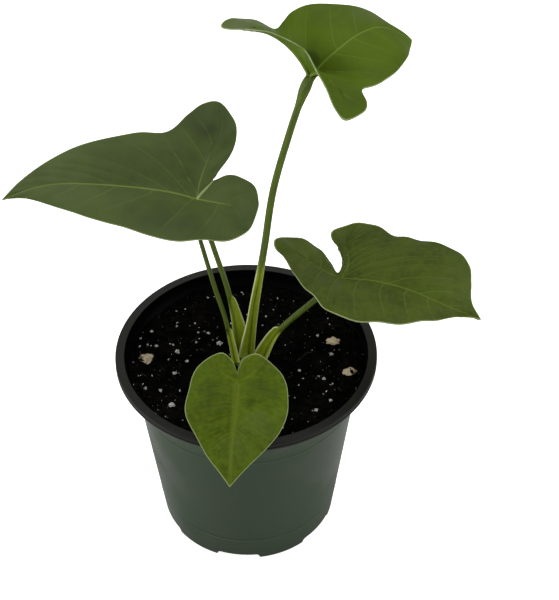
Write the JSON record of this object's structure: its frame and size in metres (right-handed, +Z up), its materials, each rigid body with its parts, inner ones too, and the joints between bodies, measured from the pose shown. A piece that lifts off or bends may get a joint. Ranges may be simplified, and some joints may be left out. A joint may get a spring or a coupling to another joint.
{
  "type": "potted philodendron",
  "caption": "Young heart-leaved philodendron with sheathed petioles growing in a round, lipped nursery pot filled with peaty soil.",
  "frame": {"origin": "middle of the pot's flat base, on the surface that it stands on", "axes": "+Z up along the pot's axis, -Y towards the front, where the drooping front leaf hangs over the rim"},
  "size_m": [0.1843, 0.1417, 0.2292],
  "materials": {
    "pot_plastic": "satin",
    "soil": "matte",
    "crown": "satin",
    "petiole": "satin",
    "leaf": "satin",
    "leaf_young": "satin",
    "bark": "matte",
    "perlite": "matte"
  },
  "bodies": {
    "root": {"nursery_pot": "pot_plastic", "potting_soil": "soil", "crown": "crown", "petiole_left": "petiole", "petiole_top": "petiole", "petiole_right": "petiole", "petiole_front": "petiole", "petiole_young": "petiole", "leaf_left": "leaf", "leaf_top": "leaf", "leaf_right": "leaf", "leaf_front": "leaf", "leaf_young": "leaf_young", "bark_chip": "bark", "wood_chip_1": "bark", "wood_chip_2": "bark", "perlite_01": "perlite", "perlite_02": "perlite", "perlite_03": "perlite", "perlite_04": "perlite", "perlite_05": "perlite", "perlite_06": "perlite", "perlite_07": "perlite", "perlite_08": "perlite", "perlite_09": "perlite", "perlite_10": "perlite", "perlite_11": "perlite", "perlite_12": "perlite", "perlite_13": "perlite", "perlite_14": "perlite", "perlite_15": "perlite", "perlite_16": "perlite"}
  },
  "joints": []
}
